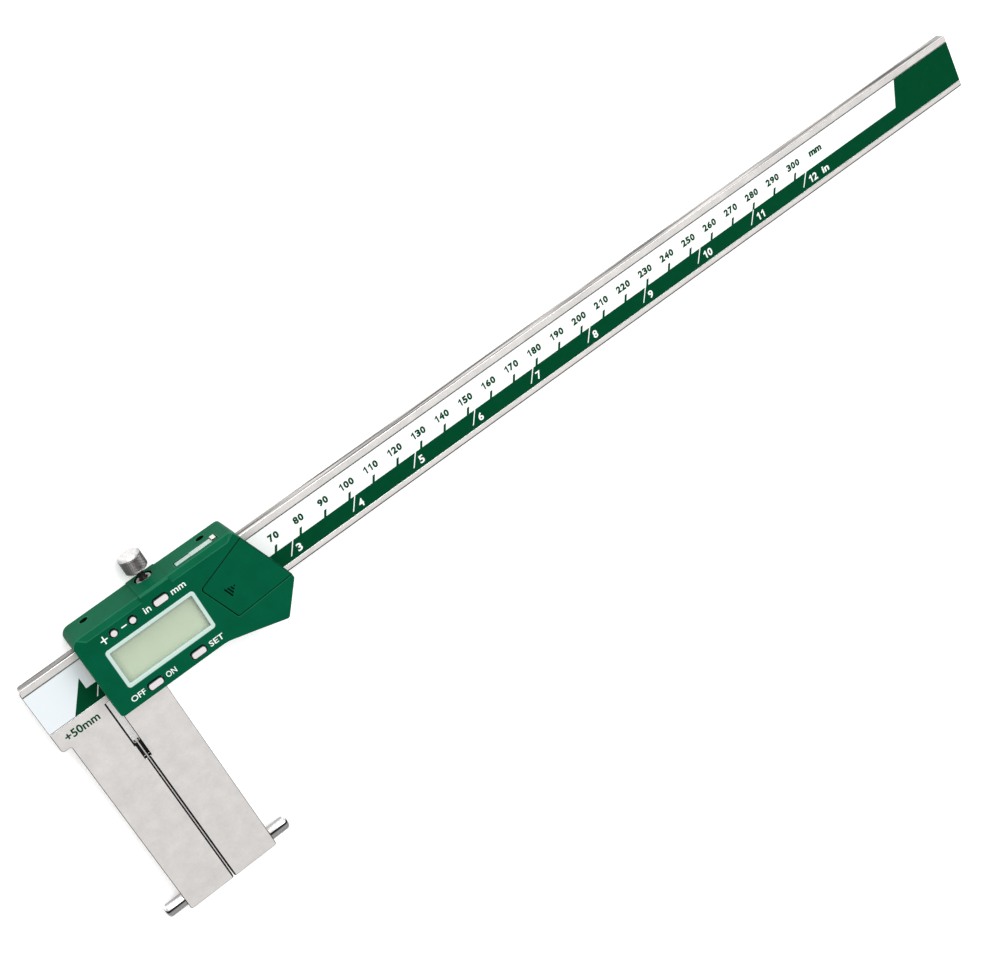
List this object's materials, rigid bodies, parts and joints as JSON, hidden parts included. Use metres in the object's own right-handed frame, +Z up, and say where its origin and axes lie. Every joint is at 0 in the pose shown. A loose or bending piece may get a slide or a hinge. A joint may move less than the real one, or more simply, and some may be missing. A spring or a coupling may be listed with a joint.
{
  "type": "inside point caliper",
  "caption": "Digital inside point caliper: a flat steel beam with a printed scale, long jaws with side contact pins, and a green slider with display and buttons.",
  "frame": {"origin": "under the middle of the whole caliper, on the surface that it lies on", "axes": "+X along the beam away from the jaws, +Y across it towards the lock screw, +Z up out of the display"},
  "size_m": [0.4062, 0.1178, 0.0162],
  "materials": {
    "beam_steel": "fine satin",
    "pin_steel": "ground bright",
    "knob_steel": "knurled",
    "dark_steel": "blackened",
    "cell_steel": "pressed",
    "contact_metal": "plated",
    "brass": "milled",
    "green_plastic": "fine grain",
    "printed_film": "printed",
    "board_green": "solder mask",
    "pale_plastic": "smooth",
    "button_plastic": "smooth",
    "clear_pane": "polished",
    "display_cell": "blank",
    "grey_rubber": "matt",
    "pale_silicone": "matt",
    "black_plastic": "moulded"
  },
  "bodies": {
    "beam_body": {"beam": "beam_steel", "scale_board": "board_green", "scale_label": "printed_film", "fixed_pin": "pin_steel"},
    "slider_body": {"slider_frame": "beam_steel", "moving_pin": "pin_steel", "gib_strip": "brass", "gib_screws": "dark_steel", "housing": "green_plastic", "housing_screws": "pin_steel", "lcd_bezel": "pale_plastic", "lcd_window": "clear_pane", "lcd_panel": "display_cell", "zebra_upper": "grey_rubber", "zebra_lower": "grey_rubber", "circuit_board": "board_green", "controller_chip": "black_plastic", "key_mat_upper": "pale_silicone", "key_mat_lower": "pale_silicone", "battery_holder": "black_plastic", "coin_cell": "cell_steel", "battery_contact_positive": "contact_metal", "battery_contact_negative": "contact_metal", "port_strip": "contact_metal", "port_block": "pin_steel"},
    "lock_pad_body": {"lock_pad": "brass"},
    "lock_screw_body": {"lock_screw": "knob_steel"},
    "battery_cover_body": {"battery_cover": "green_plastic"},
    "button_plus_body": {"button_plus": "button_plastic"},
    "button_minus_body": {"button_minus": "button_plastic"},
    "button_in_mm_body": {"button_in_mm": "button_plastic"},
    "button_on_off_body": {"button_on_off": "button_plastic"},
    "button_set_body": {"button_set": "button_plastic"}
  },
  "joints": [
    {"name": "slider_slide", "type": "slide", "parent": "beam_body", "child": "slider_body", "axis": [1, 0, 0], "range_m": [0, 0.3]},
    {"name": "lock_pad_slide", "type": "slide", "parent": "slider_body", "child": "lock_pad_body", "axis": [0, 1, 0], "range_m": [-0.000277, 0.0005]},
    {"name": "lock_screw_turn", "type": "hinge", "parent": "lock_pad_body", "child": "lock_screw_body", "pos_m": [-0.14715, 0.05895, 0.004], "axis": [0, 1, 0], "range_deg": [-200, 360]},
    {"name": "battery_cover_slide", "type": "slide", "parent": "slider_body", "child": "battery_cover_body", "axis": [0.9397, 0.342, 0], "range_m": [0, 0.032]},
    {"name": "button_plus_press", "type": "slide", "parent": "slider_body", "child": "button_plus_body", "axis": [0, 0, -1], "range_m": [0, 0.0004], "stiffness_N_per_m": 1200},
    {"name": "button_minus_press", "type": "slide", "parent": "slider_body", "child": "button_minus_body", "axis": [0, 0, -1], "range_m": [0, 0.0004], "stiffness_N_per_m": 1200},
    {"name": "button_in_mm_press", "type": "slide", "parent": "slider_body", "child": "button_in_mm_body", "axis": [0, 0, -1], "range_m": [0, 0.0004], "stiffness_N_per_m": 1200},
    {"name": "button_on_off_press", "type": "slide", "parent": "slider_body", "child": "button_on_off_body", "axis": [0, 0, -1], "range_m": [0, 0.0004], "stiffness_N_per_m": 1200},
    {"name": "button_set_press", "type": "slide", "parent": "slider_body", "child": "button_set_body", "axis": [0, 0, -1], "range_m": [0, 0.0004], "stiffness_N_per_m": 1200}
  ],
  "couplings": [
    {"joint": "lock_screw_turn", "follows": "lock_pad_slide", "rad_per_m": 12566}
  ]
}
